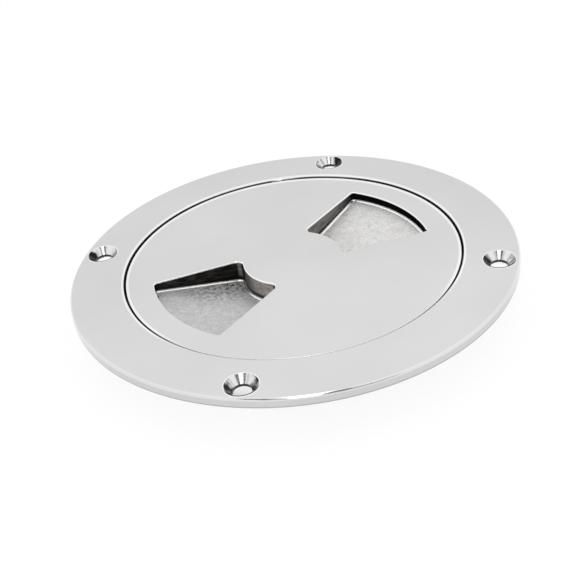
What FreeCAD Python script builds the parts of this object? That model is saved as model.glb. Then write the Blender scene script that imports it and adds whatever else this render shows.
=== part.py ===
import FreeCAD, Part
import math
import os
from FreeCAD import Vector

# Deck inspection plate: a flange ring let into a deck, and a lid that screws into it.
# Millimetres. The origin is the middle of the flange's underside, which lies on the deck,
# +Z is up and out of the deck, and the screw holes lie on the X and Y axes.

# Flange ring
OPENING_D = 101.6            # clear opening inside the ring's thread
FLANGE_T = 3.4
FLANGE_WIDTH = 16.5          # from the collar to the flange's outer edge
FLANGE_EDGE_ROUND = 1.0
FLANGE_FOOT_BREAK = 0.3      # chamfer under the flange's outer edge
COLLAR_DEPTH = 13.0          # below the deck's surface
COLLAR_WALL = 1.3            # beside the recess that takes the lid
COLLAR_FOOT_BREAK = 0.6
RECESS_EDGE_ROUND = 0.35
LEDGE_WIDTH = 3.3            # the seal's seat, from the thread to the recess wall

# Holes for the deck screws
SCREW_COUNT = 4
SCREW_EDGE_DISTANCE = 6.5    # from a hole's middle to the flange's outer edge
SCREW_HOLE_D = 5.5
COUNTERSINK_D = 10.0
COUNTERSINK_ANGLE = 90.0

# Lid
LID_GAP = 0.45               # all round, between the lid and the recess
LID_DROP = 0.3               # how far the lid's face lies below the flange's face
LID_EDGE_ROUND = 0.35
RIM_T = 2.6                  # outside the skirt
PLATE_T = 2.8                # inside the skirt
SKIRT_LENGTH = 10.1
SKIRT_WALL = 3.0
SKIRT_FOOT_BREAK = 0.5
POCKET_TURN = 48.1           # from the first screw hole to the first pocket's middle
POCKET_COUNT = 2

# Finger pockets, measured in the lid's face
POCKET_EDGE_DISTANCE = 9.25  # from a pocket's outer wall to the lid's edge
GRIP_R = 16.35               # round grip left standing between the pockets
POCKET_MOUTH = 39.9          # width between the two outer corners
POCKET_SIDE_ANGLE = 18.3     # each side wall against the pocket's middle line
POCKET_OUTER_DEPTH = 3.4
POCKET_INNER_DEPTH = 7.7
POCKET_OUTER_CORNER = 1.0
POCKET_INNER_CORNER = 2.2
POCKET_FLOOR_ROUND = 0.8
POCKET_EDGE_ROUND = 0.5
POCKET_WALL = 2.2            # casting thickness around and under a pocket
POCKET_SHELL_ROUND = 1.2

# Screw thread between lid and ring, one start, right-hand
THREAD_PITCH = 4.0
THREAD_DEPTH = 1.6
THREAD_FLANK = 30.0
THREAD_CREST = 1.0
THREAD_RADIAL_CLEARANCE = 0.3
THREAD_AXIAL_CLEARANCE = 0.25
THREAD_RUN_IN = 0.5          # plain wall left at each end of a thread

# Seal
SEAL_CORD_D = 2.6            # before it is squeezed
SEAL_HEIGHT = 2.2            # squeezed between the lid's rim and the ledge
SEAL_CLEARANCE = 0.02        # above and below
SEAL_SIDE_CLEARANCE = 0.12
SHOULDER_LIFT = 0.3          # from the ledge up to the lid's shoulder inside the seal

JOIN_TOLERANCE = 0.001       # for joining a thread's ridge to its wall
OVERLAP = 1.0                # how far a cutting tool runs past what it cuts
NEAR = 0.01                  # sizes closer than this count as the same
UP = Vector(0, 0, 1)

# Levels
FLANGE_TOP = FLANGE_T
LID_TOP = FLANGE_TOP - LID_DROP
RIM_UNDERSIDE = LID_TOP - RIM_T
SEAL_TOP = RIM_UNDERSIDE - SEAL_CLEARANCE
SEAL_BOTTOM = SEAL_TOP - SEAL_HEIGHT
LEDGE = SEAL_BOTTOM - SEAL_CLEARANCE
COLLAR_FOOT = -COLLAR_DEPTH
SKIRT_FOOT = RIM_UNDERSIDE - SKIRT_LENGTH
SHOULDER_FOOT = LEDGE + SHOULDER_LIFT

# Radii
RING_CREST_R = OPENING_D / 2
RING_ROOT_R = RING_CREST_R + THREAD_DEPTH
RECESS_R = RING_ROOT_R + LEDGE_WIDTH
COLLAR_R = RECESS_R + COLLAR_WALL
FLANGE_R = COLLAR_R + FLANGE_WIDTH
SCREW_CIRCLE_R = FLANGE_R - SCREW_EDGE_DISTANCE
LID_R = RECESS_R - LID_GAP
LID_CREST_R = RING_ROOT_R - THREAD_RADIAL_CLEARANCE
LID_ROOT_R = RING_CREST_R - THREAD_RADIAL_CLEARANCE
SKIRT_INNER_R = LID_ROOT_R - SKIRT_WALL
POCKET_OUTER_R = LID_R - POCKET_EDGE_DISTANCE

# The seal keeps its cord's section area when it is squeezed: flat above and below, round at the sides
SEAL_AREA = math.pi * SEAL_CORD_D ** 2 / 4
SEAL_FLAT = (SEAL_AREA - math.pi * SEAL_HEIGHT ** 2 / 4) / SEAL_HEIGHT
SEAL_WIDTH = SEAL_FLAT + SEAL_HEIGHT
SEAL_MIDDLE_R = RECESS_R - SEAL_SIDE_CLEARANCE - SEAL_WIDTH / 2
SHOULDER_R = SEAL_MIDDLE_R - SEAL_WIDTH / 2 - SEAL_SIDE_CLEARANCE

# Thread widths along the axis, and the heights of the two ridges' middles at the X axis
FLANK_RUN = THREAD_DEPTH * math.tan(math.radians(THREAD_FLANK))
RING_RIDGE_ROOT = THREAD_CREST + 2 * FLANK_RUN
RIDGE_ROOT_GAP = THREAD_PITCH - RING_RIDGE_ROOT
CREST_SHIFT = 2 * THREAD_RADIAL_CLEARANCE * math.tan(math.radians(THREAD_FLANK))
LID_RIDGE_CREST = RIDGE_ROOT_GAP + CREST_SHIFT - 2 * THREAD_AXIAL_CLEARANCE
LID_RIDGE_ROOT = LID_RIDGE_CREST + 2 * FLANK_RUN
RING_RIDGE_BOTTOM = COLLAR_FOOT + COLLAR_FOOT_BREAK + THREAD_RUN_IN + RING_RIDGE_ROOT / 2
RING_RIDGE_TOP = LEDGE - THREAD_RUN_IN - RING_RIDGE_ROOT / 2
LID_RIDGE_TOP = SHOULDER_FOOT - THREAD_RUN_IN - LID_RIDGE_ROOT / 2
LID_RIDGE_LOWEST = SKIRT_FOOT + SKIRT_FOOT_BREAK + LID_RIDGE_ROOT / 2
HALF_PITCHES_UP = math.ceil((LID_RIDGE_LOWEST - RING_RIDGE_BOTTOM) / THREAD_PITCH - 0.5) + 0.5
LID_RIDGE_BOTTOM = RING_RIDGE_BOTTOM + HALF_PITCHES_UP * THREAD_PITCH


def revolved(outline):
    """solid of revolution about Z from (radius, height) points"""
    points = [Vector(r, 0, z) for r, z in outline]
    face = Part.Face(Part.makePolygon(points + points[:1]))
    return face.revolve(Vector(0, 0, 0), UP, 360)


def circle_edges(shape, radius, height):
    """the edges of a shape that lie on one horizontal circle about Z"""
    found = []
    for edge in shape.Edges:
        if not isinstance(edge.Curve, Part.Circle):
            continue
        centre = edge.Curve.Center
        on_axis = math.hypot(centre.x, centre.y) < NEAR
        if on_axis and abs(centre.z - height) < NEAR and abs(edge.Curve.Radius - radius) < NEAR:
            found.append(edge)
    return found


def thread_ridge(root_r, crest_r, root_width, crest_width, bottom, top):
    """helical ridge on a wall of radius root_r, its middle rising from bottom to top"""
    helix = Part.makeHelix(THREAD_PITCH, top - bottom, root_r)
    helix.translate(UP * bottom)
    corners = [
        Vector(root_r, 0, bottom - root_width / 2),
        Vector(crest_r, 0, bottom - crest_width / 2),
        Vector(crest_r, 0, bottom + crest_width / 2),
        Vector(root_r, 0, bottom + root_width / 2),
    ]
    sweep = Part.BRepOffsetAPI.MakePipeShell(Part.Wire(helix.Edges))
    sweep.setFrenetMode(True)
    sweep.add(Part.makePolygon(corners + corners[:1]))
    sweep.build()
    sweep.makeSolid()
    return sweep.shape()


def countersunk_hole():
    """tool for one screw hole, on the Z axis"""
    hole_r = SCREW_HOLE_D / 2
    sink_r = COUNTERSINK_D / 2
    slope = math.tan(math.radians(COUNTERSINK_ANGLE / 2))
    sink_depth = (sink_r - hole_r) / slope
    return revolved([
        (0, -OVERLAP),
        (hole_r, -OVERLAP),
        (hole_r, FLANGE_TOP - sink_depth),
        (sink_r, FLANGE_TOP),
        (sink_r + OVERLAP * slope, FLANGE_TOP + OVERLAP),
        (0, FLANGE_TOP + OVERLAP),
    ])


def deck_ring():
    ring = revolved([
        (RECESS_R, FLANGE_TOP),
        (FLANGE_R, FLANGE_TOP),
        (FLANGE_R, 0),
        (COLLAR_R, 0),
        (COLLAR_R, COLLAR_FOOT),
        (RING_ROOT_R, COLLAR_FOOT),
        (RING_ROOT_R, LEDGE),
        (RECESS_R, LEDGE),
    ])
    ring = ring.makeFillet(FLANGE_EDGE_ROUND, circle_edges(ring, FLANGE_R, FLANGE_TOP))
    ring = ring.makeFillet(RECESS_EDGE_ROUND, circle_edges(ring, RECESS_R, FLANGE_TOP))
    ring = ring.makeChamfer(FLANGE_FOOT_BREAK, circle_edges(ring, FLANGE_R, 0))
    ring = ring.makeChamfer(COLLAR_FOOT_BREAK, circle_edges(ring, COLLAR_R, COLLAR_FOOT))
    for i in range(SCREW_COUNT):
        hole = countersunk_hole()
        hole.translate(Vector(SCREW_CIRCLE_R, 0, 0))
        hole.rotate(Vector(0, 0, 0), UP, 360 * i / SCREW_COUNT)
        ring = ring.cut(hole)
    ridge = thread_ridge(
        RING_ROOT_R, RING_CREST_R, RING_RIDGE_ROOT, THREAD_CREST, RING_RIDGE_BOTTOM, RING_RIDGE_TOP)
    return ring.fuse([ridge], JOIN_TOLERANCE)


def pocket_outline():
    """a finger pocket's edge in the lid's face, its middle line along +X, corners still sharp"""
    outer_y = POCKET_MOUTH / 2
    outer_x = math.sqrt(POCKET_OUTER_R ** 2 - outer_y ** 2)
    slope = math.tan(math.radians(POCKET_SIDE_ANGLE))
    # the side wall y = outer_y + slope * (x - outer_x) meets the grip's circle
    offset = outer_y - slope * outer_x
    a = 1 + slope ** 2
    b = 2 * slope * offset
    c = offset ** 2 - GRIP_R ** 2
    inner_x = (-b + math.sqrt(b ** 2 - 4 * a * c)) / (2 * a)
    inner_y = offset + slope * inner_x
    outer_a, outer_b = Vector(outer_x, -outer_y, 0), Vector(outer_x, outer_y, 0)
    inner_a, inner_b = Vector(inner_x, -inner_y, 0), Vector(inner_x, inner_y, 0)
    return Part.Wire([
        Part.Arc(outer_a, Vector(POCKET_OUTER_R, 0, 0), outer_b).toShape(),
        Part.makeLine(outer_b, inner_b),
        Part.Arc(inner_b, Vector(GRIP_R, 0, 0), inner_a).toShape(),
        Part.makeLine(inner_a, outer_a),
    ])


def above_pocket_floor(drop):
    """everything above a pocket's sloping floor, or above a surface that lies drop below it"""
    slope = (POCKET_INNER_DEPTH - POCKET_OUTER_DEPTH) / (POCKET_OUTER_R - GRIP_R)
    floor_at_axis = LID_TOP - POCKET_INNER_DEPTH - slope * GRIP_R - drop
    space = revolved([
        (0, floor_at_axis),
        (LID_R, floor_at_axis + slope * LID_R),
        (LID_R, LID_TOP + OVERLAP),
        (0, LID_TOP + OVERLAP),
    ])
    # the seam of the cone is turned away from the pocket
    space.rotate(Vector(0, 0, 0), UP, 180)
    return space


def pocket_column(outline, drop, top):
    """column with a pocket's outline, from its floor, or drop below that, up to the height top"""
    lowest = LID_TOP - 2 * POCKET_INNER_DEPTH
    column = Part.Face(outline).extrude(UP * (top - lowest))
    column.translate(UP * lowest)
    return column.common(above_pocket_floor(drop))


def upright_edges(shape, radius):
    """the edges parallel to Z that stand at one distance from the axis"""
    found = []
    for edge in shape.Edges:
        upright = abs(edge.tangentAt(edge.FirstParameter).z) > 1 - NEAR
        middle = edge.CenterOfMass
        if upright and abs(math.hypot(middle.x, middle.y) - radius) < NEAR:
            found.append(edge)
    return found


def floor_edges(column, top):
    """the edges round a column's lower end"""
    return [e for e in column.Edges if max(v.Point.z for v in e.Vertexes) < top - NEAR]


def mouth_edges(lid):
    """the edges of the finger pockets in the lid's face"""
    found = []
    for edge in lid.Edges:
        level = edge.BoundBox.ZLength < NEAR and abs(edge.BoundBox.ZMin - LID_TOP) < NEAR
        if level and max(math.hypot(v.X, v.Y) for v in edge.Vertexes) < POCKET_OUTER_R + NEAR:
            found.append(edge)
    return found


def pocket_hollow():
    """what a finger pocket takes out of the lid"""
    hollow = pocket_column(pocket_outline(), 0, LID_TOP)
    hollow = hollow.makeFillet(POCKET_INNER_CORNER, upright_edges(hollow, GRIP_R))
    hollow = hollow.makeFillet(POCKET_OUTER_CORNER, upright_edges(hollow, POCKET_OUTER_R))
    return hollow.makeFillet(POCKET_FLOOR_ROUND, floor_edges(hollow, LID_TOP))


def pocket_shell():
    """the casting round a finger pocket, which stands out under the lid"""
    plate_middle = LID_TOP - PLATE_T / 2
    shell = pocket_column(pocket_outline().makeOffset2D(POCKET_WALL), POCKET_WALL, plate_middle)
    return shell.makeFillet(POCKET_SHELL_ROUND, floor_edges(shell, plate_middle))


def screw_lid():
    lid = revolved([
        (0, LID_TOP),
        (LID_R, LID_TOP),
        (LID_R, RIM_UNDERSIDE),
        (SHOULDER_R, RIM_UNDERSIDE),
        (SHOULDER_R, SHOULDER_FOOT),
        (LID_ROOT_R, SHOULDER_FOOT),
        (LID_ROOT_R, SKIRT_FOOT),
        (SKIRT_INNER_R, SKIRT_FOOT),
        (SKIRT_INNER_R, LID_TOP - PLATE_T),
        (0, LID_TOP - PLATE_T),
    ])
    lid = lid.makeFillet(LID_EDGE_ROUND, circle_edges(lid, LID_R, LID_TOP))
    lid = lid.makeChamfer(SKIRT_FOOT_BREAK, circle_edges(lid, LID_ROOT_R, SKIRT_FOOT))
    for i in range(POCKET_COUNT):
        turn = POCKET_TURN + 360 * i / POCKET_COUNT
        shell = pocket_shell()
        shell.rotate(Vector(0, 0, 0), UP, turn)
        lid = lid.fuse(shell)
        hollow = pocket_hollow()
        hollow.rotate(Vector(0, 0, 0), UP, turn)
        lid = lid.cut(hollow)
    lid = lid.makeFillet(POCKET_EDGE_ROUND, mouth_edges(lid))
    ridge = thread_ridge(
        LID_ROOT_R, LID_CREST_R, LID_RIDGE_ROOT, LID_RIDGE_CREST, LID_RIDGE_BOTTOM, LID_RIDGE_TOP)
    return lid.fuse([ridge], JOIN_TOLERANCE)


def o_ring():
    side = SEAL_HEIGHT / 2
    middle = (SEAL_TOP + SEAL_BOTTOM) / 2
    left = SEAL_MIDDLE_R - SEAL_FLAT / 2
    right = SEAL_MIDDLE_R + SEAL_FLAT / 2
    section = Part.Wire([
        Part.makeLine(Vector(left, 0, SEAL_TOP), Vector(right, 0, SEAL_TOP)),
        Part.Arc(Vector(right, 0, SEAL_TOP), Vector(right + side, 0, middle),
                 Vector(right, 0, SEAL_BOTTOM)).toShape(),
        Part.makeLine(Vector(right, 0, SEAL_BOTTOM), Vector(left, 0, SEAL_BOTTOM)),
        Part.Arc(Vector(left, 0, SEAL_BOTTOM), Vector(left - side, 0, middle),
                 Vector(left, 0, SEAL_TOP)).toShape(),
    ])
    return Part.Face(section).revolve(Vector(0, 0, 0), UP, 360)


pieces = {
    "deck_ring": deck_ring(),
    "screw_lid": screw_lid(),
    "o_ring": o_ring(),
}
os.makedirs("parts", exist_ok=True)
for name, shape in pieces.items():
    shape.exportStep("parts/" + name + ".step")
    print(name, "valid", shape.isValid(), "solids", len(shape.Solids), "volume", round(shape.Volume))
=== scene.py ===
import math

import bmesh
import bpy
from mathutils import Matrix, Vector


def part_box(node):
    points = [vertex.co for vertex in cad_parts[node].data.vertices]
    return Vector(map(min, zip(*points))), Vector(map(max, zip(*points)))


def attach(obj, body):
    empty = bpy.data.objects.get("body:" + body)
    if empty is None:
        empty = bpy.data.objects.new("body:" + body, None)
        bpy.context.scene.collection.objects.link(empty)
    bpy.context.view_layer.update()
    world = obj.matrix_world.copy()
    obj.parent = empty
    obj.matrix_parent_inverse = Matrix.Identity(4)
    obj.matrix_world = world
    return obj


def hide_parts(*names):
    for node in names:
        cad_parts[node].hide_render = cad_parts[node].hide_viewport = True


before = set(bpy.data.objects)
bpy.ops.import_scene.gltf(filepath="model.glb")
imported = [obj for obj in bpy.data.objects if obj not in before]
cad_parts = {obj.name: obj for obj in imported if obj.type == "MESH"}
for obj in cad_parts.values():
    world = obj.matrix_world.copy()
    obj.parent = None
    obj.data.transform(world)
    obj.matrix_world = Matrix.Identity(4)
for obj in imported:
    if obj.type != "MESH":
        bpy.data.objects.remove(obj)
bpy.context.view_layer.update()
bpy.context.scene.view_settings.view_transform = "Standard"

# Camera. It looks down on the plate from between the screw holes on -Y and +X, and is rolled a
# little, as in the photograph. Its place was fitted to the plate's circles and screw holes.
CAMERA_AZIMUTH = math.radians(16.79)
CAMERA_ELEVATION = math.radians(32.89)
CAMERA_ROLL = math.radians(-8.12)
CAMERA_DISTANCE = 0.3440
CAMERA_ASIDE = -0.00125        # from the line through the middle of the plate's face
CAMERA_BELOW = -0.01055
CAMERA_LENS = 65.34
CAMERA_NEAR = 0.01

ring_low, ring_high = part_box("deck_ring")
camera_turn = (Matrix.Rotation(CAMERA_AZIMUTH, 4, "Z")
               @ Matrix.Rotation(math.pi / 2 - CAMERA_ELEVATION, 4, "X")
               @ Matrix.Rotation(CAMERA_ROLL, 4, "Z"))
camera_shift = Matrix.Translation((CAMERA_ASIDE, CAMERA_BELOW, CAMERA_DISTANCE))
bpy.ops.object.camera_add()
camera = bpy.context.object
camera.name = "camera"
camera.matrix_world = Matrix.Translation((0, 0, ring_high.z)) @ camera_turn @ camera_shift
camera.data.lens = CAMERA_LENS
camera.data.clip_start = CAMERA_NEAR
bpy.context.scene.camera = camera

# Studio. A white floor under the collar, in a white room that lights the plate from all round, with
# a faint dim band along its walls. On the camera's side stand a grey screen, a strip lamp and two
# narrow black flags beside it, for the polished steel to mirror.
FLOOR_SIZE = 8.0
FLOOR_SHADE = 0.12             # how much of its brightness the plate's shadow can take
FLOOR_GLOW = 0.90
BAND_GLOW = 0.91
BAND_ELEVATION = math.radians(22)
BAND_EDGE = math.radians(27)   # full up to here, and gone at BAND_END
BAND_END = math.radians(37)
SCREEN_SIZE = (1.70, 0.60)
SCREEN_DISTANCE = 1.2
SCREEN_ASIDE = 0.28            # to the picture's right
SCREEN_FOOT = 0.50             # its lower edge, above the deck
SCREEN_GREY = 0.60
LAMP_SIZE = (0.21, 1.20)
LAMP_DISTANCE = 1.0
LAMP_TURN = math.radians(-3)   # round from the camera's side, as the flags' turns are
LAMP_ELEVATION = math.radians(56)
LAMP_GLOW = 2.0
FLAG_SIZE = (0.17, 0.60)
FLAG_DISTANCE = 0.98
FLAG_TURNS = (math.radians(-34), math.radians(16))
FLAG_BLACK = 0.02

# the level directions from the plate toward the camera, and to the picture's right
toward_camera = Matrix.Rotation(CAMERA_AZIMUTH, 3, "Z") @ Vector((0, -1, 0))
aside = Matrix.Rotation(CAMERA_AZIMUTH, 3, "Z") @ Vector((1, 0, 0))


def add_node(tree, kind, inputs=None, **settings):
    """a node in tree; an input is given a value or the socket that feeds it"""
    node = tree.nodes.new("ShaderNode" + kind)
    for name, value in settings.items():
        setattr(node, name, value)
    for name, value in (inputs or {}).items():
        if isinstance(value, bpy.types.NodeSocket):
            tree.links.new(value, node.inputs[name])
        else:
            node.inputs[name].default_value = value
    return node


def maths(tree, operation, *values):
    """one step of arithmetic"""
    return add_node(tree, "Math", dict(enumerate(values)), operation=operation).outputs[0]


def along(tree, vector, axis):
    """how far the vector reaches along that axis"""
    return add_node(tree, "SeparateXYZ", {0: vector}).outputs[axis]


def ramp(tree, value, low, high, at_low, at_high, **settings):
    """a number that goes from at_low to at_high while the value goes from low to high"""
    return add_node(tree, "MapRange", {
        "Value": value, "From Min": low, "From Max": high, "To Min": at_low, "To Max": at_high,
    }, **settings).outputs["Result"]


def new_material(name):
    """a material with only an output node, and its node tree"""
    material = bpy.data.materials.new(name)
    material.use_nodes = True
    material.node_tree.nodes.clear()
    add_node(material.node_tree, "OutputMaterial")
    return material, material.node_tree


def finish_material(tree, shader):
    """the shader is what the material shows"""
    tree.links.new(shader.outputs[0], tree.nodes[0].inputs["Surface"])


def grey(level):
    """a neutral colour"""
    return (level, level, level, 1)


def board(name, size, place, rotation, shade):
    """a board of that grey, which the camera doesn't see"""
    bpy.ops.mesh.primitive_plane_add(size=1, location=place, rotation=rotation)
    piece = bpy.context.object
    piece.name = name
    piece.scale.xy = size
    piece.visible_camera = False
    cloth, tree = new_material(name + "_cloth")
    finish_material(tree, add_node(tree, "BsdfDiffuse", {"Color": grey(shade)}))
    piece.data.materials.append(cloth)
    return piece


def studio_line(turn):
    """the way from the plate up to what hangs so far round from the camera's side, and its turn"""
    line = Matrix.Rotation(turn, 3, "Z") @ toward_camera * math.cos(LAMP_ELEVATION)
    line.z = math.sin(LAMP_ELEVATION)
    return line, line.to_track_quat("Z", "Y").to_euler()


bpy.ops.mesh.primitive_plane_add(size=FLOOR_SIZE, location=(0, 0, ring_low.z))
floor = bpy.context.object
floor.name = "floor"
white_paint, tree = new_material("white_paint")
matt = add_node(tree, "BsdfDiffuse", {"Color": grey(FLOOR_SHADE)})
glow = add_node(tree, "Emission", {"Strength": FLOOR_GLOW})
lit = add_node(tree, "AddShader", {0: matt.outputs[0], 1: glow.outputs[0]})
rays = add_node(tree, "LightPath").outputs
seen = maths(tree, "ADD", rays["Is Camera Ray"], rays["Is Glossy Ray"])
seen = maths(tree, "ADD", seen, rays["Is Transmission Ray"])
finish_material(tree, add_node(tree, "MixShader", {0: seen, 1: matt.outputs[0], 2: lit.outputs[0]}))
floor.data.materials.append(white_paint)

white_room = bpy.data.worlds.new("white_room")
white_room.use_nodes = True
tree = white_room.node_tree
upward = along(tree, add_node(tree, "TexCoord").outputs["Generated"], "Z")
band_middle = math.sin(BAND_ELEVATION)
off_band = maths(tree, "ABSOLUTE", maths(tree, "SUBTRACT", upward, band_middle))
room_light = ramp(tree, off_band, math.sin(BAND_EDGE) - band_middle,
                  math.sin(BAND_END) - band_middle, BAND_GLOW, 1)
tree.links.new(room_light, tree.nodes["Background"].inputs["Color"])
bpy.context.scene.world = white_room

lamp_line, lamp_turn = studio_line(LAMP_TURN)
bpy.ops.object.light_add(type="AREA", location=lamp_line * LAMP_DISTANCE, rotation=lamp_turn)
strip_lamp = bpy.context.object
strip_lamp.name = "strip_lamp"
strip_lamp.visible_camera = False
strip_lamp.data.shape = "RECTANGLE"
strip_lamp.data.size, strip_lamp.data.size_y = LAMP_SIZE
strip_lamp.data.energy = LAMP_GLOW * math.pi * LAMP_SIZE[0] * LAMP_SIZE[1]  # for that glow

screen_place = toward_camera * SCREEN_DISTANCE + aside * SCREEN_ASIDE
screen_place.z = SCREEN_FOOT + SCREEN_SIZE[1] / 2
screen_turn = (math.pi / 2, 0, CAMERA_AZIMUTH)
boards = [board("grey_screen", SCREEN_SIZE, screen_place, screen_turn, SCREEN_GREY)]
for turn in FLAG_TURNS:
    flag_line, flag_turn = studio_line(turn)
    boards.append(board("black_flag", FLAG_SIZE, flag_line * FLAG_DISTANCE, flag_turn, FLAG_BLACK))

# Deck ring. One stainless casting that is screwed down on the deck: its flange is ground and
# buffed, its recess, seal ledge, thread and countersinks are turned, and the rest is as cast.
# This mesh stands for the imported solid, in the same sizes and with rounder edges.
MM = 0.001
FLANGE_R = ring_high.x
FLANGE_TOP = ring_high.z
COLLAR_FOOT = ring_low.z
COLLAR_R = 57.0 * MM
RECESS_R = 55.7 * MM
LEDGE = -1.74 * MM             # where the seal lies
FLANGE_ROUND = 1.0 * MM
RECESS_ROUND = 0.35 * MM
FLANGE_BREAK = 0.3 * MM
COLLAR_BREAK = 0.6 * MM
SCREW_COUNT = 4
SCREW_CIRCLE_R = 67.0 * MM
SCREW_HOLE_R = 2.75 * MM
SINK_R = 5.0 * MM
THREAD_ROOT_R = 52.4 * MM
THREAD_CREST_R = 50.8 * MM
THREAD_PITCH = 4.0 * MM
THREAD_CREST = 1.0 * MM        # its width
THREAD_FLANK = math.radians(30)
RIDGE_SUNK = 0.3 * MM          # how far the ridge's foot lies inside the wall, to be joined to it
RIDGE_BOTTOM = -10.476 * MM    # the ridge's middle, at its lower and its upper end
RIDGE_TOP = -3.664 * MM
RING_SIDES = 384
THREAD_SIDES = 128             # in one turn of it
HOLE_SIDES = 96
SMOOTH_BELOW = math.radians(28)
NEAR = 0.01 * MM               # how far a corner may be from where it is looked for
TINY = 0.001 * MM              # corners this close are merged

BUFFED = grey(0.715)
# the flange's side, a little pinker and painted darker than its face: painted shade
BUFFED_SIDE_SHADE = (0.635, 0.625, 0.625, 1)
SIDE_FOOT = grey(0.46)         # the lowest part of the flange's side, darker towards the bottom
# the flange's rounded outer edge, painted lighter: a painted highlight
OUTER_EDGE_HIGHLIGHT = grey(0.80)
BURNISHED_HIGHLIGHT = grey(0.97)         # narrow edges and burrs painted near white: partly burnished by the wheel, partly a painted highlight
CAST = (0.50, 0.49, 0.475, 1)
TURNED = grey(0.50)
# painted shade on the recess's wall, the gap's dark edge, the screw bores and the countersinks'
# dark lips
TURNED_PAINTED_SHADE = grey(0.055)
# the same painted shade, lighter at the plate's far side
TURNED_LIGHTER_SHADE = grey(0.24)
SUNK = grey(0.72)
SUNK_END_SHADE = 0.02               # painted shade on a countersink's two ends
# painted brighter than steel, as painted light, so that what shows through a screw hole reads white
COLLAR_PAINTED_BRIGHT = grey(0.90)
COLLAR_DULL = grey(0.42)       # toward its foot, which goes down into the deck
TURNED_ROUGH = 0.30
COLLAR_ROUGH = 0.16
SUNK_ROUGH = 0.17
PAINTED_DARK_EDGE_ROUGH = 0.12
BUFFED_RELIEF = 0.0004         # how deep each finish is, in millimetres
TURNED_RELIEF = 0.012
CAST_RELIEF = 0.10
CHATTER_RELIEF = 0.05
FEED = 0.14 * MM               # the turning tool's travel in one turn


def turned_piece(name, outline, sides):
    """a solid of revolution, made by extruding a circle from one (radius, height) to the next"""
    bpy.ops.object.select_all(action="DESELECT")
    radius, height = outline[0]
    bpy.ops.mesh.primitive_circle_add(vertices=sides, radius=radius)
    piece = bpy.context.object
    piece.name = name
    bpy.ops.object.mode_set(mode="EDIT")
    bpy.ops.transform.translate(value=(0, 0, height))
    for next_radius, next_height in outline[1:] + outline[:1]:
        rise = (0, 0, next_height - height)
        bpy.ops.mesh.extrude_region_move(TRANSFORM_OT_translate={"value": rise})
        scale = next_radius / radius
        bpy.ops.transform.resize(value=(scale, scale, 1), center_override=(0, 0, 0))
        radius, height = next_radius, next_height
    bpy.ops.mesh.select_all(action="SELECT")
    bpy.ops.mesh.remove_doubles(threshold=TINY)
    bpy.ops.mesh.normals_make_consistent(inside=False)
    bpy.ops.object.mode_set(mode="OBJECT")
    return piece


def round_circle(piece, radius, height, size, segments):
    """bevels the piece's edge that runs round Z at that radius and height"""
    bpy.ops.object.mode_set(mode="EDIT")
    bpy.ops.mesh.select_mode(type="EDGE")
    bpy.ops.mesh.select_all(action="DESELECT")
    mesh = bmesh.from_edit_mesh(piece.data)
    for edge in mesh.edges:
        ends = [(v.co.xy.length - radius, v.co.z - height) for v in edge.verts]
        edge.select_set(all(abs(a) < NEAR and abs(b) < NEAR for a, b in ends))
    bmesh.update_edit_mesh(piece.data)
    bpy.ops.mesh.bevel(offset=size, segments=segments, profile=0.5, affect="EDGES")
    bpy.ops.object.mode_set(mode="OBJECT")


def combine(piece, tool, operation):
    """cuts the tool out of the piece, or joins it on, and removes the tool"""
    boolean = piece.modifiers.new("combine", "BOOLEAN")
    boolean.object = tool
    boolean.operation = operation
    boolean.solver = "EXACT"
    bpy.context.view_layer.objects.active = piece
    bpy.ops.object.modifier_apply(modifier=boolean.name)
    bpy.data.objects.remove(tool)


def screw_drill(turn):
    """what a screw hole and its countersink, at 45 degrees, take out of the flange"""
    past = SINK_R - SCREW_HOLE_R   # the countersink's depth, and how far the drill runs past
    drill = turned_piece("drill", [
        (TINY, -past),
        (SCREW_HOLE_R, -past),
        (SCREW_HOLE_R, FLANGE_TOP - past),
        (SINK_R + past, FLANGE_TOP + past),
        (TINY, FLANGE_TOP + past),
    ], HOLE_SIDES)
    bpy.ops.object.mode_set(mode="EDIT")
    bpy.ops.mesh.select_all(action="SELECT")
    bpy.ops.mesh.remove_doubles(threshold=NEAR)
    bpy.ops.object.mode_set(mode="OBJECT")
    drill.location = Matrix.Rotation(turn, 3, "Z") @ Vector((SCREW_CIRCLE_R, 0, 0))
    bpy.context.view_layer.update()
    return drill


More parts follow.
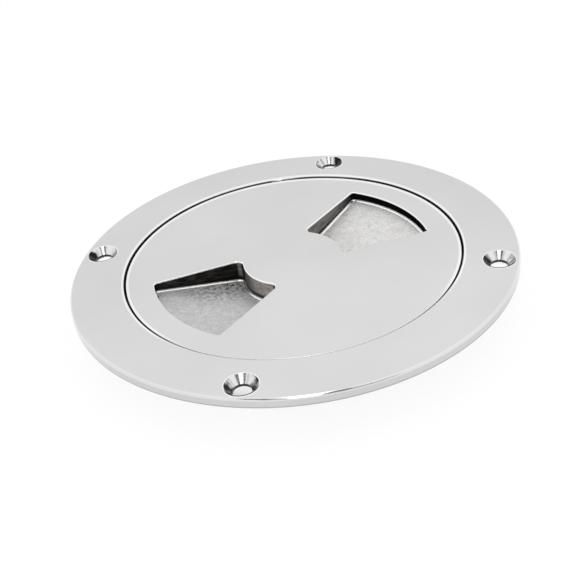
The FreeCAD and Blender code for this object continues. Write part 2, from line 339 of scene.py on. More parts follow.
def thread_ridge():
    """the screw thread's ridge, its foot sunk into the wall"""
    foot_r = THREAD_ROOT_R + RIDGE_SUNK
    foot_width = THREAD_CREST + 2 * (foot_r - THREAD_CREST_R) * math.tan(THREAD_FLANK)
    bpy.ops.object.select_all(action="DESELECT")
    bpy.ops.mesh.primitive_plane_add(size=1, rotation=(math.pi / 2, 0, 0),
                                     location=((foot_r + THREAD_CREST_R) / 2, 0, RIDGE_BOTTOM))
    ridge = bpy.context.object
    ridge.scale = (foot_r - THREAD_CREST_R, foot_width, 1)
    bpy.ops.object.transform_apply(location=True, rotation=True, scale=True)
    bpy.ops.object.mode_set(mode="EDIT")
    bpy.ops.mesh.select_all(action="DESELECT")
    mesh = bmesh.from_edit_mesh(ridge.data)
    for vertex in mesh.verts:
        vertex.select_set(abs(vertex.co.x - THREAD_CREST_R) < NEAR)
    mesh.select_flush(True)
    bmesh.update_edit_mesh(ridge.data)
    bpy.ops.transform.resize(value=(1, 1, THREAD_CREST / foot_width),
                             center_override=(THREAD_CREST_R, 0, RIDGE_BOTTOM))
    bpy.ops.mesh.select_all(action="SELECT")
    bpy.ops.mesh.delete(type="ONLY_FACE")
    bpy.ops.object.mode_set(mode="OBJECT")
    turns = (RIDGE_TOP - RIDGE_BOTTOM) / THREAD_PITCH
    screw = ridge.modifiers.new("screw", "SCREW")
    screw.angle = 2 * math.pi * turns
    screw.screw_offset = RIDGE_TOP - RIDGE_BOTTOM
    screw.steps = screw.render_steps = round(THREAD_SIDES * turns)
    bpy.ops.object.modifier_apply(modifier=screw.name)
    bpy.ops.object.mode_set(mode="EDIT")
    bpy.ops.mesh.select_all(action="SELECT")
    bpy.ops.mesh.fill_holes(sides=4)
    bpy.ops.mesh.normals_make_consistent(inside=False)
    bpy.ops.object.mode_set(mode="OBJECT")
    return ridge


deck_ring = turned_piece("deck_ring_casting", [
    (RECESS_R, FLANGE_TOP),
    (FLANGE_R, FLANGE_TOP),
    (FLANGE_R, 0),
    (COLLAR_R, 0),
    (COLLAR_R, COLLAR_FOOT),
    (THREAD_ROOT_R, COLLAR_FOOT),
    (THREAD_ROOT_R, LEDGE),
    (RECESS_R, LEDGE),
], RING_SIDES)
round_circle(deck_ring, FLANGE_R, FLANGE_TOP, FLANGE_ROUND, segments=8)
round_circle(deck_ring, RECESS_R, FLANGE_TOP, RECESS_ROUND, segments=5)
round_circle(deck_ring, FLANGE_R, 0, FLANGE_BREAK, segments=1)
round_circle(deck_ring, COLLAR_R, COLLAR_FOOT, COLLAR_BREAK, segments=1)
for i in range(SCREW_COUNT):
    combine(deck_ring, screw_drill(2 * math.pi * i / SCREW_COUNT), "DIFFERENCE")
combine(deck_ring, thread_ridge(), "UNION")
bpy.ops.object.shade_smooth_by_angle(angle=SMOOTH_BELOW)
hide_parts("deck_ring")
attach(deck_ring, "ring")


GIVE_A_NUMBER = ("LENGTH", "DISTANCE", "DOT_PRODUCT")


def vectors(tree, operation, *values):
    """one step of arithmetic with vectors"""
    node = add_node(tree, "VectorMath", dict(enumerate(values)), operation=operation)
    return node.outputs["Value" if operation in GIVE_A_NUMBER else "Vector"]


def resized(tree, vector, by):
    """the vector or colour times a number"""
    node = add_node(tree, "VectorMath", {0: vector, "Scale": by}, operation="SCALE")
    return node.outputs["Vector"]


def levelled(tree, vector):
    """the vector without its height"""
    return vectors(tree, "MULTIPLY", vector, (1, 1, 0))


def point_masks(tree):
    """the point, its height, its distance from the plate's axis, and how far it faces up"""
    piece = add_node(tree, "TexCoord").outputs
    point, facing = piece["Object"], along(tree, piece["Normal"], "Z")
    return point, along(tree, point, "Z"), vectors(tree, "LENGTH", levelled(tree, point)), facing


def rising(tree, value, low, high):
    """a mask that goes smoothly from 0 to 1 while the value goes from low to high"""
    return ramp(tree, value, low, high, 0, 1, interpolation_type="SMOOTHSTEP")


def falling(tree, value, low, high):
    """a mask that goes smoothly from 1 to 0 while the value goes from low to high"""
    return ramp(tree, value, low, high, 1, 0, interpolation_type="SMOOTHSTEP")


def where_not(tree, mask):
    """where the mask is 0"""
    return maths(tree, "SUBTRACT", 1, mask)


def overlap(tree, *masks):
    """where all of the masks are"""
    shared = masks[0]
    for mask in masks[1:]:
        shared = maths(tree, "MULTIPLY", shared, mask)
    return shared


def scaled(tree, value, by, more=0):
    """the value times one number, and another added"""
    return maths(tree, "MULTIPLY_ADD", value, by, more)


def toward(tree, vector, direction):
    """how far the vector reaches in that direction"""
    return vectors(tree, "DOT_PRODUCT", vector, direction)


MIX_SOCKETS = {"RGBA": (6, 7, 2), "FLOAT": (2, 3, 0)}  # the Mix node's two inputs and its output


def layered(tree, mask, under, over):
    """the colour or number under a mask, and over it where the mask is 1"""
    colours = any(isinstance(v, tuple) or getattr(v, "type", "") == "RGBA" for v in (under, over))
    kind = "RGBA" if colours else "FLOAT"
    first, second, mixed = MIX_SOCKETS[kind]
    node = add_node(tree, "Mix", {0: mask, first: under, second: over}, data_type=kind)
    return node.outputs[mixed]


def noise(tree, point, size, detail, roughness=0.5):
    """a noise texture whose blotches are about that size, in metres"""
    return add_node(tree, "TexNoise", {
        "Vector": point, "Scale": 1 / size, "Detail": detail, "Roughness": roughness,
    }).outputs["Fac"]


def stretched(tree, point, scale, turn=0):
    """the point, scaled and then turned about Z"""
    return add_node(tree, "Mapping", {
        "Vector": point, "Rotation": (0, 0, turn), "Scale": scale,
    }).outputs["Vector"]


def new_group(name, inputs, outputs):
    """a node group with these sockets, its input's sockets and a call that joins its outputs"""
    group = bpy.data.node_groups.new(name, "ShaderNodeTree")
    for socket, kind in inputs.items():
        group.interface.new_socket(socket, in_out="INPUT", socket_type="NodeSocket" + kind)
    for socket, kind in outputs.items():
        group.interface.new_socket(socket, in_out="OUTPUT", socket_type="NodeSocket" + kind)
    entry = group.nodes.new("NodeGroupInput")
    leave = group.nodes.new("NodeGroupOutput")

    def close(**made):
        for socket, value in made.items():
            group.links.new(value, leave.inputs[socket])
        return group

    return group, entry.outputs, close


def place_group(tree, group, **inputs):
    """the outputs of a group that is placed in a material"""
    return add_node(tree, "Group", inputs, node_tree=group).outputs


# the buffed face: clouds left by the wheel and the last fine hairlines. In a shade or a roughness
# of two numbers, a texture is multiplied by the first, and the second is added
CLOUD_SIZE = 40 * MM
BLOTCH_SIZE = 4 * MM
HAIR_SIZE = 0.25 * MM
HAIR_STRETCH = 0.02
HAIR_TURNS = (0.5, 1.6, 2.7)   # so that the three sets of hairlines differ
CLOUD_SHADE = (0.16, 0.91)
CLOUD_ROUGH = (0.10, 0.04)
BLOTCH_ROUGH = 0.05
group, given, close = new_group("buffed_face", {"Point": "Vector"}, {
    "Shade": "Float", "Roughness": "Float", "Height": "Float"})
clouds = noise(group, given["Point"], CLOUD_SIZE, detail=3)
blotches = noise(group, given["Point"], BLOTCH_SIZE, detail=3)
hairs = 0
for turn in HAIR_TURNS:
    hairline = stretched(group, given["Point"], (HAIR_STRETCH, 1, 1), turn)
    hairs = maths(group, "ADD", hairs, noise(group, hairline, HAIR_SIZE, detail=1))
buffed_face = close(
    Shade=scaled(group, clouds, *CLOUD_SHADE),
    Roughness=maths(group, "ADD", scaled(group, clouds, *CLOUD_ROUGH),
                    scaled(group, blotches, BLOTCH_ROUGH)),
    Height=scaled(group, hairs, 1 / len(HAIR_TURNS)))

# the skin of a casting: shallow hollows, sand grain and a few pits
HOLLOW_SIZE = 2.2 * MM
GRAIN_SIZE = 0.45 * MM
HOLLOW_SHARE = 0.35
GRAIN_SHARE = 0.65
PIT_SPACING = 3.2 * MM
PIT_SIZE = (0.06, 0.14)        # of the spacing, from the pit's bed to its rim
PIT_SHADE = 0.25
PIT_DEPTH = 0.3
SPECKLE_SHADE = (1.4, 0.27)
GRAIN_ROUGH = (0.25, 0.36)
group, given, close = new_group("cast_skin", {"Point": "Vector"}, {
    "Shade": "Float", "Roughness": "Float", "Height": "Float"})
hollows = noise(group, given["Point"], HOLLOW_SIZE, detail=3, roughness=0.6)
grain = noise(group, given["Point"], GRAIN_SIZE, detail=3, roughness=0.6)
cells = add_node(group, "TexVoronoi", {"Vector": given["Point"], "Scale": 1 / PIT_SPACING},
                 feature="F1")
pits = falling(group, cells.outputs["Distance"], *PIT_SIZE)
speckle = maths(group, "ADD", scaled(group, hollows, HOLLOW_SHARE),
                scaled(group, grain, GRAIN_SHARE))
cast_skin = close(
    Shade=maths(group, "SUBTRACT", scaled(group, speckle, *SPECKLE_SHADE),
                scaled(group, pits, PIT_SHADE)),
    Roughness=scaled(group, grain, *GRAIN_ROUGH),
    Height=maths(group, "SUBTRACT", speckle, scaled(group, pits, PIT_DEPTH)))

# a turned surface: the tool's fine feed marks, round the axis
WEAR_SIZE = 5 * MM
WEAR_SHADE = (0.3, 0.85)
group, given, close = new_group("turned_surface", {"Point": "Vector", "Feed": "Float"}, {
    "Shade": "Float", "Height": "Float"})
height = along(group, given["Point"], "Z")
radius = vectors(group, "LENGTH", levelled(group, given["Point"]))
travel = maths(group, "DIVIDE", maths(group, "ADD", radius, height), given["Feed"])
marks = maths(group, "SINE", scaled(group, travel, 2 * math.pi))
wear = noise(group, given["Point"], WEAR_SIZE, detail=2)
turned_surface = close(
    Shade=scaled(group, wear, *WEAR_SHADE),
    Height=scaled(group, marks, 0.5, 0.5))

# the edges of the gap: painted shade and painted highlight round the far three quarters of the
# plate, and plain on its near side. At the far side the painted bright lines beside the gap are
# wider
PLAIN_TURN = math.radians(3)   # from the plate's near side to where the gap shows least
EDGES_FADE = (0.50 * RECESS_R, 0.74 * RECESS_R)
WIDER = 0.9 * MM               # how much wider the painted bright lines are at the plate's far side


def far_side(tree, point):
    """where the edges of the gap get painted shade and painted highlight"""
    nearness = toward(tree, point, Matrix.Rotation(PLAIN_TURN, 3, "Z") @ toward_camera)
    return falling(tree, nearness, *EDGES_FADE)


def widening(tree, point):
    """how much wider the painted bright lines beside the gap are there"""
    farness = scaled(tree, toward(tree, point, -toward_camera), WIDER / RECESS_R)
    return maths(tree, "MAXIMUM", farness, 0)


def painted(tree, colour, shade, layers):
    """the colour times its shade, with others laid over both where their masks are 1"""
    for mask, next_colour, next_shade in layers:
        colour = layered(tree, mask, colour, next_colour)
        shade = layered(tree, mask, shade, next_shade)
    return resized(tree, colour, shade)


def stacked(tree, value, layers):
    """the value, with others laid over it where their masks are 1"""
    for mask, next_value in layers:
        value = layered(tree, mask, value, next_value)
    return value


def bumped(tree, relief):
    """the surface's normal, with a relief in millimetres"""
    return add_node(tree, "Bump", {"Height": relief, "Distance": MM, "Strength": 1.0}).outputs[0]


ring_steel, tree = new_material("ring_stainless")
point, height, radius, facing = point_masks(tree)
buffed = place_group(tree, buffed_face, Point=point)
cast = place_group(tree, cast_skin, Point=point)
turned = place_group(tree, turned_surface, Point=point, Feed=FEED)
far = far_side(tree, point)

# the cast underside, the collar, and the turned walls inside the ring. Two numbers under one name
# are where its mask begins and where it ends, here and below, if nothing else is said
UNDERSIDE = (0, 0.25 * MM)
OUTSIDE_R = (RECESS_R + 0.3 * MM, RECESS_R + 0.7 * MM)
COLLAR_END_R = (COLLAR_R + 0.05 * MM, COLLAR_R + 0.15 * MM)
COLLAR_DULLS = (COLLAR_FOOT + 0.5 * MM, COLLAR_FOOT + 6.0 * MM)
UNDER_FACE = (FLANGE_TOP - 0.5 * MM, FLANGE_TOP - 0.3 * MM)
below = falling(tree, height, *UNDERSIDE)
outside = rising(tree, radius, *OUTSIDE_R)
inside = where_not(tree, outside)
collar = overlap(tree, below, outside, falling(tree, radius, *COLLAR_END_R))
collar_foot = falling(tree, height, *COLLAR_DULLS)
cast_here = overlap(tree, below, maths(tree, "SUBTRACT", outside, collar))
turned_here = overlap(tree, inside, falling(tree, height, *UNDER_FACE))

# the recess's wall and the edge round it: a painted highlight above, and painted shade where it
# turns down, but for one spot of painted reflection. At the far side the painted shade is lighter
# all over
REFLECTION_SPOT_ANGLE = math.radians(1.2)  # round from the plate's far side
REFLECTION_SPOT_SIZE = 1.9 * MM
REFLECTION_SPOT_END = (0.85 * REFLECTION_SPOT_SIZE, 1.2 * REFLECTION_SPOT_SIZE)
RECESS_WALL_R = (RECESS_R - 0.2 * MM, RECESS_R - 0.1 * MM)
EDGE_R = (RECESS_R + 0.8 * MM, RECESS_R + 1.0 * MM)
EDGE_HEIGHT = (FLANGE_TOP - 0.8 * MM, FLANGE_TOP - 0.5 * MM)
EDGE_FACING = (0.96, 0.985)
LIGHTER_SHADE_FARNESS = (0.80 * RECESS_R, 0.96 * RECESS_R)
reflection_spot = Matrix.Rotation(REFLECTION_SPOT_ANGLE, 3, "Z") @ -toward_camera * RECESS_R
reflection_spot.z = FLANGE_TOP
off_reflection_spot = rising(tree, vectors(tree, "DISTANCE", point, reflection_spot), *REFLECTION_SPOT_END)
recess_wall = overlap(tree, turned_here, off_reflection_spot, rising(tree, radius, *RECESS_WALL_R))
edge_radius = maths(tree, "SUBTRACT", radius, widening(tree, point))
recess_edge = overlap(tree, far, falling(tree, edge_radius, *EDGE_R),
                      rising(tree, height, *EDGE_HEIGHT))
painted_bright_edge = overlap(tree, recess_edge, rising(tree, facing, *EDGE_FACING))
painted_dark_edge = overlap(tree, recess_edge, off_reflection_spot, falling(tree, facing, *EDGE_FACING))
farness = toward(tree, point, -toward_camera)
edge_steel = layered(tree, rising(tree, farness, *LIGHTER_SHADE_FARNESS), TURNED_PAINTED_SHADE,
                     TURNED_LIGHTER_SHADE)

# the flange's side with painted shade, the foot of it, and the rounded edge above it with a painted
# highlight
SIDE_R = (FLANGE_R - 0.3 * MM, FLANGE_R - 0.1 * MM)
SIDE_FACING = (0.1, 0.3)
SIDE_FOOT_HEIGHT = (0.5 * MM, 0.9 * MM)
OUTER_EDGE_R = (FLANGE_R - 1.2 * MM, FLANGE_R - 0.8 * MM)
OUTER_EDGE_FACING = (0.2, 0.5)
FACE_FACING = (0.93, 0.99)
side = overlap(tree, rising(tree, radius, *SIDE_R), falling(tree, facing, *SIDE_FACING))
side_foot = overlap(tree, side, falling(tree, height, *SIDE_FOOT_HEIGHT))
outer_edge = overlap(tree, rising(tree, radius, *OUTER_EDGE_R),
                     rising(tree, facing, *OUTER_EDGE_FACING), falling(tree, facing, *FACE_FACING))

# the nearest screw hole's middle lies on X or on Y, whichever the point is nearer to
SINK_END = (SINK_R - 0.02 * MM, SINK_R + 0.05 * MM)
BORE_END = (SCREW_HOLE_R + 0.05 * MM, SCREW_HOLE_R + 0.15 * MM)
BORE_FOOT = (0.3 * MM, 0.5 * MM)
along_x, along_y = along(tree, point, "X"), along(tree, point, "Y")
on_x = maths(tree, "GREATER_THAN", maths(tree, "ABSOLUTE", along_x),
             maths(tree, "ABSOLUTE", along_y))
on_y = where_not(tree, on_x)
hole_x = overlap(tree, maths(tree, "SIGN", along_x), on_x)
hole_y = overlap(tree, maths(tree, "SIGN", along_y), on_y)
hole_way = add_node(tree, "CombineXYZ", {"X": hole_x, "Y": hole_y}).outputs[0]
from_hole = vectors(tree, "SUBTRACT", levelled(tree, point),
                    resized(tree, hole_way, SCREW_CIRCLE_R))
hole_distance = vectors(tree, "LENGTH", from_hole)
sunk_here = falling(tree, hole_distance, *SINK_END)
bore_here = falling(tree, hole_distance, *BORE_END)
# the bore: painted shade, and at its foot painted bright as painted light, so that the hole reads
# white
bore_steel = layered(tree, falling(tree, height, *BORE_FOOT), TURNED_PAINTED_SHADE, BURNISHED_HIGHLIGHT)

# a painted highlight runs round each countersink as a bright burr, and on the near side its rim is
# painted shade
NEAR_RIM = (0.1, 0.7)
DARK_LIP_END = (SINK_R + 0.30 * MM, SINK_R + 0.50 * MM)
DARK_LIP_WIDTH = 0.45 * MM
BURR_END = (0.22 * MM, 0.40 * MM)
round_way = vectors(tree, "NORMALIZE", from_hole)
near_rim = rising(tree, toward(tree, round_way, toward_camera), *NEAR_RIM)
painted_dark_lip = overlap(tree, near_rim, falling(tree, hole_distance, *DARK_LIP_END))
from_rim = maths(tree, "SUBTRACT", hole_distance, scaled(tree, near_rim, DARK_LIP_WIDTH, SINK_R))
burr_highlight = falling(tree, from_rim, *BURR_END)

# its chatter marks run from its rim to its hole, other ones in each, and their shade is partly a
# painted reflection.
# Two ends are painted shade: on both countersinks on X more the one to the camera's left, on the
# one on +Y the one to its right
CHATTER_SIZE = 1 / 2.2         # on a circle of radius 1
CHATTER_APART = (6, 6, 0)      # so that each countersink gets its own marks
CHATTER = (0.36, 0.5)          # the noise in its marks and between them
CHATTER_SHADE = (0.45, 1.1)    # the shade there, partly a painted reflection
SMEAR_SIZE = 2.5 * MM
SMEARS_APART = (-8 * MM, 0, 0)  # so that the two countersinks on X get other smears
SMEAR_SHIFT = (0.9, -0.45)     # how far the smears shift the painted dark ends: times this, and this added
SHADE_LEAN = 0.20               # how much more painted shade lies on one end of a countersink
DARK_END = (0.68, 0.98)
marks_apart = vectors(tree, "MULTIPLY", hole_way, CHATTER_APART)
round_this_hole = vectors(tree, "ADD", round_way, marks_apart)
chatter = noise(tree, round_this_hole, CHATTER_SIZE, detail=3, roughness=0.7)
sunk_shade = ramp(tree, chatter, *CHATTER, *CHATTER_SHADE)
sideways = toward(tree, round_way, aside)
across = maths(tree, "ABSOLUTE", sideways)
smear_point = vectors(tree, "MULTIPLY_ADD", hole_way, SMEARS_APART, point)
smear = scaled(tree, noise(tree, smear_point, SMEAR_SIZE, detail=3), *SMEAR_SHIFT)
lean = scaled(tree, maths(tree, "SUBTRACT", maths(tree, "MAXIMUM", hole_y, 0), on_x), SHADE_LEAN)
shift = maths(tree, "MULTIPLY_ADD", sideways, lean, smear)
painted_dark_end = rising(tree, maths(tree, "ADD", across, shift), *DARK_END)
sunk_shade = layered(tree, painted_dark_end, sunk_shade, SUNK_END_SHADE)

finish_material(tree, add_node(tree, "BsdfPrincipled", {
    "Base Color": painted(tree, BUFFED, buffed["Shade"], (
        (turned_here, TURNED, turned["Shade"]),
        (recess_wall, TURNED_PAINTED_SHADE, turned["Shade"]),
        (cast_here, CAST, cast["Shade"]),
        (burr_highlight, BURNISHED_HIGHLIGHT, 1.0),
        (painted_dark_lip, TURNED_PAINTED_SHADE, 1.0),
        (sunk_here, SUNK, sunk_shade),
        (bore_here, bore_steel, turned["Shade"]),
        (collar, layered(tree, collar_foot, COLLAR_PAINTED_BRIGHT, COLLAR_DULL), buffed["Shade"]),
        (side, BUFFED_SIDE_SHADE, buffed["Shade"]),
        (side_foot, SIDE_FOOT, buffed["Shade"]),
        (outer_edge, OUTER_EDGE_HIGHLIGHT, buffed["Shade"]),
        (painted_dark_edge, edge_steel, turned["Shade"]),
        (painted_bright_edge, BURNISHED_HIGHLIGHT, buffed["Shade"]))),
    "Metallic": 1.0,
    "Roughness": stacked(tree, buffed["Roughness"], (
        (turned_here, TURNED_ROUGH), (cast_here, cast["Roughness"]), (collar, COLLAR_ROUGH),
        (sunk_here, SUNK_ROUGH), (painted_dark_edge, PAINTED_DARK_EDGE_ROUGH))),
    "Normal": bumped(tree, stacked(tree, scaled(tree, buffed["Height"], BUFFED_RELIEF), (
        (turned_here, scaled(tree, turned["Height"], TURNED_RELIEF)),
        (cast_here, scaled(tree, cast["Height"], CAST_RELIEF)),
        (sunk_here, scaled(tree, chatter, CHATTER_RELIEF)))))}))
deck_ring.data.materials.clear()
deck_ring.data.materials.append(ring_steel)

# Seal. A moulded ring of black nitrile rubber that lies on the recess's ledge under the lid's rim,
# pressed a little flat between the two. It comes up with the lid. A faint line is left where its
# mould closed.
seal_low, seal_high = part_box("o_ring")
SEAL_HEIGHT = seal_high.z - seal_low.z
SEAL_MIDDLE = (seal_high.z + seal_low.z) / 2
SEAL_FLAT = 0.685 * MM         # the width over which the rim and the ledge press it flat
SEAL_MIDDLE_R = seal_high.x - (SEAL_HEIGHT + SEAL_FLAT) / 2
SEAL_SECTION_SIDES = 30
SEAL_STEPS = 256
MOULD_LINE = 0.08 * MM
NITRILE = (0.012, 0.012, 0.013, 1)
NITRILE_BLOOM = (0.028, 0.027, 0.026, 1)
NITRILE_ROUGH = (0.2, 0.42)    # the bloom is multiplied by the first, and the second is added
BLOOM_SIZE = 3 * MM
PORE_SIZE = 0.2 * MM
PORE_DEPTH = 0.02              # in millimetres
MOULD_LINE_HEIGHT = 0.04

bpy.ops.object.select_all(action="DESELECT")
bpy.ops.mesh.primitive_circle_add(vertices=SEAL_SECTION_SIDES, radius=SEAL_HEIGHT / 2,
                                  location=(SEAL_MIDDLE_R, 0, SEAL_MIDDLE),
                                  rotation=(math.pi / 2, 0, 0))
seal = bpy.context.object
seal.name = "seal_ring"
bpy.ops.object.transform_apply()
for half in (-1, 1):
    bpy.ops.object.mode_set(mode="OBJECT")
    for vertex in seal.data.vertices:
        vertex.select = (vertex.co.x - SEAL_MIDDLE_R) * half > TINY
    bpy.ops.object.mode_set(mode="EDIT")
    bpy.ops.transform.translate(value=(half * SEAL_FLAT / 2, 0, 0))
bpy.ops.mesh.select_all(action="SELECT")
bpy.ops.mesh.spin(steps=SEAL_STEPS, angle=2 * math.pi, center=(0, 0, 0), axis=(0, 0, 1))
bpy.ops.mesh.select_all(action="SELECT")
bpy.ops.mesh.remove_doubles(threshold=TINY)
bpy.ops.mesh.normals_make_consistent(inside=False)
bpy.ops.object.mode_set(mode="OBJECT")
bpy.ops.object.shade_smooth()
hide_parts("o_ring")
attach(seal, "seal")

rubber, tree = new_material("black_nitrile")
point, height = point_masks(tree)[:2]
bloom = noise(tree, point, BLOOM_SIZE, detail=3)
pores = noise(tree, point, PORE_SIZE, detail=2)
from_middle = maths(tree, "ABSOLUTE", maths(tree, "SUBTRACT", height, SEAL_MIDDLE))
mould_line = falling(tree, from_middle, 0, MOULD_LINE)
finish_material(tree, add_node(tree, "BsdfPrincipled", {
    "Base Color": layered(tree, bloom, NITRILE, NITRILE_BLOOM),
    "Roughness": scaled(tree, bloom, *NITRILE_ROUGH),
    "Normal": bumped(tree, maths(tree, "ADD", scaled(tree, pores, PORE_DEPTH),
                                 scaled(tree, mould_line, MOULD_LINE_HEIGHT)))}))
seal.data.materials.append(rubber)

# Lid. One stainless casting that screws into the ring: its face is buffed, its edge, neck and
# thread are turned, and its underside and two finger pockets keep the casting's skin. The packed
# mesh stays, and gets its steel here.
lid_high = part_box("screw_lid")[1]
LID_TOP = lid_high.z
LID_R = lid_high.x
POCKET_TURN = math.radians(48.1)       # the first pocket's, from X. The second lies opposite
POCKET_SIDE_ANGLE = math.radians(18.3)
POCKET_MOUTH = 39.9 * MM
POCKET_OUTER_R = 46.0 * MM
POCKET_INNER_R = 16.35 * MM
POCKET_OUTER_DEPTH = 3.4 * MM
POCKET_INNER_DEPTH = 7.7 * MM

LID_BUFFED = grey(0.722)
LID_MARGIN_HIGHLIGHT = grey(0.95)
LID_RIM_SHADE = grey(0.14)
LIT_FLOOR = (0.80, 0.795, 0.785, 1)  # the first pocket's floor, painted lighter: painted light
SHADED_FLOOR = grey(0.655)               # the second pocket's floor, painted darker: painted shade
POCKET_FLOOR_SHADE = grey(0.06)
SCALE_AND_SHADE_BLACK = (0.014, 0.013, 0.012, 1)  # the casting's dark scale on the pockets' walls, partly painted shade
SCALE_AND_SHADE_SMEARED = (0.058, 0.054, 0.050, 1)
SCALE_AND_SHADE_THICK = (0.004, 0.004, 0.004, 1)  # on the pockets' outer walls, matt, partly painted shade
LIGHTER_WALL = (0.60, 0.555, 0.525, 1)   # where the walls are lighter
FLOOR_METALLIC = 0.55                  # the floors' skin is part metal, part oxide
SOFT_EDGE_ROUGH = 0.40
ROUNDED_ROUGH = 0.22
POCKET_RELIEF = 0.16                   # in millimetres

lid_steel, tree = new_material("lid_stainless")
point, height, radius, facing = point_masks(tree)
buffed = place_group(tree, buffed_face, Point=point)
cast = place_group(tree, cast_skin, Point=point)
turned = place_group(tree, turned_surface, Point=point, Feed=FEED)
far = far_side(tree, point)

# what the wheel doesn't reach: the pockets and what lies under the rim
LID_UNDER_FACE = (LID_TOP - 0.5 * MM, LID_TOP - 0.3 * MM)
POCKETS_END_R = (47.2 * MM, 47.4 * MM)
WALL_FROM_FACING = (-0.3, -0.1)
WALL_TO_FACING = (0.15, 0.4)
ROUNDED_FACING = (0.45, 0.6)
FLOOR_FACING = (0.93, 0.97)
under_face = falling(tree, height, *LID_UNDER_FACE)
within = falling(tree, radius, *POCKETS_END_R)
cast_here = overlap(tree, under_face, within)
turned_here = overlap(tree, under_face, where_not(tree, within))
wall = overlap(tree, rising(tree, facing, *WALL_FROM_FACING),
               falling(tree, facing, *WALL_TO_FACING))
# the roundings at the pockets' mouths and floors are painted near white: partly burnished, partly a
# painted highlight
rounded = overlap(tree, within, rising(tree, facing, *ROUNDED_FACING),
                  falling(tree, facing, *FLOOR_FACING))
floor_skin = overlap(tree, cast_here, rising(tree, facing, *FLOOR_FACING))

# the lid's edge: a painted highlight as a bright margin on the face at the far side, and on the rim
# where it turns down into the gap painted shade at the far side and a painted highlight at the near
# side
MARGIN_R = (LID_R - 1.1 * MM, LID_R - 0.85 * MM)
RIM_R = (LID_R - 0.2 * MM, LID_R - 0.1 * MM)
RIM_HEIGHT = (LID_TOP - 0.9 * MM, LID_TOP - 0.6 * MM)
RIM_FACING = (0.75, 0.9)
SOFT_EDGE_R = (LID_R - 0.32 * MM, LID_R - 0.28 * MM)
SOFT_EDGE_FACING = (0.93, 0.98)
edge_radius = maths(tree, "ADD", radius, widening(tree, point))
margin = overlap(tree, far, rising(tree, edge_radius, *MARGIN_R))
rim = overlap(tree, rising(tree, radius, *RIM_R), rising(tree, height, *RIM_HEIGHT),
              falling(tree, facing, *RIM_FACING))
soft_edge = overlap(tree, rising(tree, radius, *SOFT_EDGE_R),
                    falling(tree, facing, *SOFT_EDGE_FACING))

# the point and its normal as they would be if the middle line of its pocket lay along X
unturned = stretched(tree, point, (1, 1, 1), -POCKET_TURN)
which = maths(tree, "SIGN", along(tree, unturned, "X"))
first_pocket = rising(tree, which, -0.5, 0.5)
in_pocket = resized(tree, unturned, which)
across = along(tree, in_pocket, "Y")
normal = add_node(tree, "TexCoord").outputs["Normal"]
wall_way = resized(tree, stretched(tree, normal, (1, 1, 1), -POCKET_TURN), which)


def level_way(angle):
    """the level direction at that angle from a pocket's middle line"""
    return (math.cos(angle), math.sin(angle), 0)


# the second pocket's floor has painted shade in the specks of its skin, along one side wall
# and at its deep end
SPECK_SIZE = 1.3 * MM
SPECKS = (0.47, 0.56)
SHADE_FROM_WALL = (0, 18 * MM)       # from that side wall
SHADE_DEEP_R = (24 * MM, 42 * MM)
SHADE_AMOUNT = (0.75, 0.10)    # how much more there is at the deep end, and how much elsewhere
outer_corner_x = math.sqrt(POCKET_OUTER_R ** 2 - (POCKET_MOUTH / 2) ** 2)
side_wall_offset = (math.cos(POCKET_SIDE_ANGLE) * POCKET_MOUTH / 2
                    - math.sin(POCKET_SIDE_ANGLE) * outer_corner_x)
off_side_wall = level_way(math.pi / 2 - POCKET_SIDE_ANGLE)
from_side_wall = maths(tree, "ADD", toward(tree, in_pocket, off_side_wall), side_wall_offset)
specks = rising(tree, noise(tree, point, SPECK_SIZE, detail=4, roughness=0.75), *SPECKS)
painted_floor_shade = overlap(tree, specks, falling(tree, from_side_wall, *SHADE_FROM_WALL),
                scaled(tree, falling(tree, radius, *SHADE_DEEP_R), *SHADE_AMOUNT),
                where_not(tree, first_pocket))
floor_colour = layered(tree, painted_floor_shade, layered(tree, first_pocket, SHADED_FLOOR, LIT_FLOOR), POCKET_FLOOR_SHADE)

# the walls are lighter where they face round toward the grip between the pockets and along one side
# wall of each, but not in the corners, and one corner gets a painted highlight
GRIP_WAY = math.radians(30)            # where the swept part faces, from the middle line
GRIP_FACING = (0.40, 0.60)
GRIP_LIGHTER = (-10 * MM, 8 * MM)        # across the pocket, more and more
GRIP_CORNER = (-8.8 * MM, -8.1 * MM)
FAR_CORNER = (8.2 * MM, 8.7 * MM)
FAR_CORNER_FACING = (0.90, 0.99)
CORNER_HIGHLIGHT = (-9.9 * MM, -9.3 * MM)
CORNER_HIGHLIGHT_FACING = (0.88, 0.99)
CORNER_HIGHLIGHT_AMOUNT = 0.55
SIDE_WALL_FACING = (0.93, 0.99)
SIDE_WALL_R = (34 * MM, 45 * MM)
SIDE_WALL_AMOUNT = 0.38
grip_facing = toward(tree, wall_way, level_way(GRIP_WAY))
grip_wall = overlap(tree, rising(tree, across, *GRIP_LIGHTER), rising(tree, across, *GRIP_CORNER),
                    rising(tree, grip_facing, *GRIP_FACING))
far_corner = overlap(tree, rising(tree, across, *FAR_CORNER),
                     falling(tree, grip_facing, *FAR_CORNER_FACING))
grip_wall = overlap(tree, grip_wall, where_not(tree, far_corner))
corner_highlight = overlap(tree, falling(tree, across, *CORNER_HIGHLIGHT),
                       rising(tree, grip_facing, *CORNER_HIGHLIGHT_FACING))
side_facing = toward(tree, wall_way, level_way(POCKET_SIDE_ANGLE - math.pi / 2))
side_wall = overlap(tree, rising(tree, side_facing, *SIDE_WALL_FACING),
                    falling(tree, radius, *SIDE_WALL_R))
lighter_wall = maths(tree, "MAXIMUM", grip_wall, scaled(tree, corner_highlight, CORNER_HIGHLIGHT_AMOUNT))
lighter_wall = maths(tree, "MAXIMUM", lighter_wall, scaled(tree, side_wall, SIDE_WALL_AMOUNT))

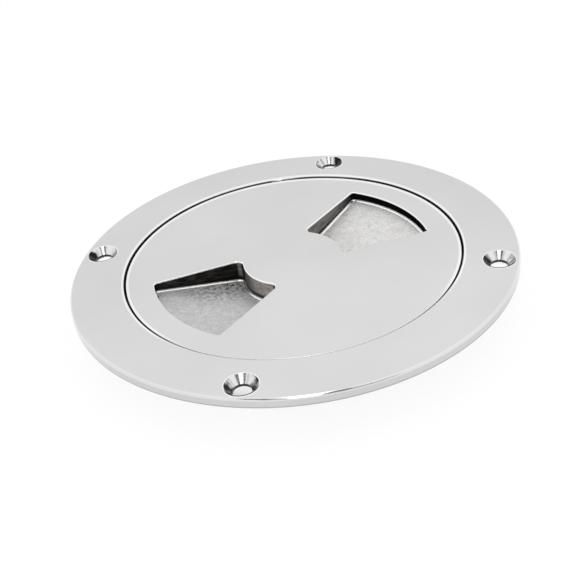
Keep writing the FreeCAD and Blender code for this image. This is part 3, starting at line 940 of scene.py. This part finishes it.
# they stay dark along the walls' foot and on the outer walls, and are smeared elsewhere
WALL_FOOT = (0.62, 0.84)               # of the way down
WALL_SMEAR_SIZE = 0.9 * MM
WALL_SMEAR_STRETCH = (0.22, 0.22, 1)
WALL_SMEARS = (0.36, 0.66)
WALL_SMEARS_R = (44.0 * MM, 45.5 * MM)
LIGHTER_STROKES = (0.50, 0.65)             # how much lighter the strokes are, and how light the rest
OUTER_WALL_R = (POCKET_OUTER_R - 0.6 * MM, POCKET_OUTER_R - 0.3 * MM)
depth_here = ramp(tree, radius, POCKET_OUTER_R, POCKET_INNER_R, POCKET_OUTER_DEPTH,
                  POCKET_INNER_DEPTH)
way_down = maths(tree, "DIVIDE", maths(tree, "SUBTRACT", LID_TOP, height), depth_here)
above_foot = falling(tree, way_down, *WALL_FOOT)
smears = noise(tree, stretched(tree, point, WALL_SMEAR_STRETCH), WALL_SMEAR_SIZE, detail=4,
               roughness=0.65)
smears = rising(tree, smears, *WALL_SMEARS)
smeared = overlap(tree, above_foot, smears, falling(tree, radius, *WALL_SMEARS_R))
lighter_wall = overlap(tree, lighter_wall, above_foot, scaled(tree, smears, *LIGHTER_STROKES))
wall_colour = layered(tree, lighter_wall, layered(tree, smeared, SCALE_AND_SHADE_BLACK, SCALE_AND_SHADE_SMEARED), LIGHTER_WALL)
outer_wall = overlap(tree, wall, cast_here, rising(tree, radius, *OUTER_WALL_R))
wall_colour = layered(tree, outer_wall, wall_colour, SCALE_AND_SHADE_THICK)

finish_material(tree, add_node(tree, "BsdfPrincipled", {
    "Base Color": painted(tree, LID_BUFFED, buffed["Shade"], (
        (cast_here, layered(tree, wall, floor_colour, wall_colour), cast["Shade"]),
        (turned_here, TURNED, turned["Shade"]),
        (margin, LID_MARGIN_HIGHLIGHT, buffed["Shade"]),
        (rim, layered(tree, far, BURNISHED_HIGHLIGHT, LID_RIM_SHADE), buffed["Shade"]),
        (rounded, BURNISHED_HIGHLIGHT, 1.0))),
    "Metallic": stacked(tree, 1.0, ((floor_skin, FLOOR_METALLIC), (outer_wall, 0.0))),
    "Specular IOR Level": 0.0,
    "Roughness": stacked(tree, buffed["Roughness"], (
        (cast_here, cast["Roughness"]), (turned_here, TURNED_ROUGH), (soft_edge, SOFT_EDGE_ROUGH),
        (rounded, ROUNDED_ROUGH))),
    "Normal": bumped(tree, stacked(tree, scaled(tree, buffed["Height"], BUFFED_RELIEF), (
        (cast_here, scaled(tree, cast["Height"], POCKET_RELIEF)),
        (rounded, scaled(tree, buffed["Height"], BUFFED_RELIEF)),
        (turned_here, scaled(tree, turned["Height"], TURNED_RELIEF)))))}))
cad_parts["screw_lid"].material_slots[0].material = lid_steel
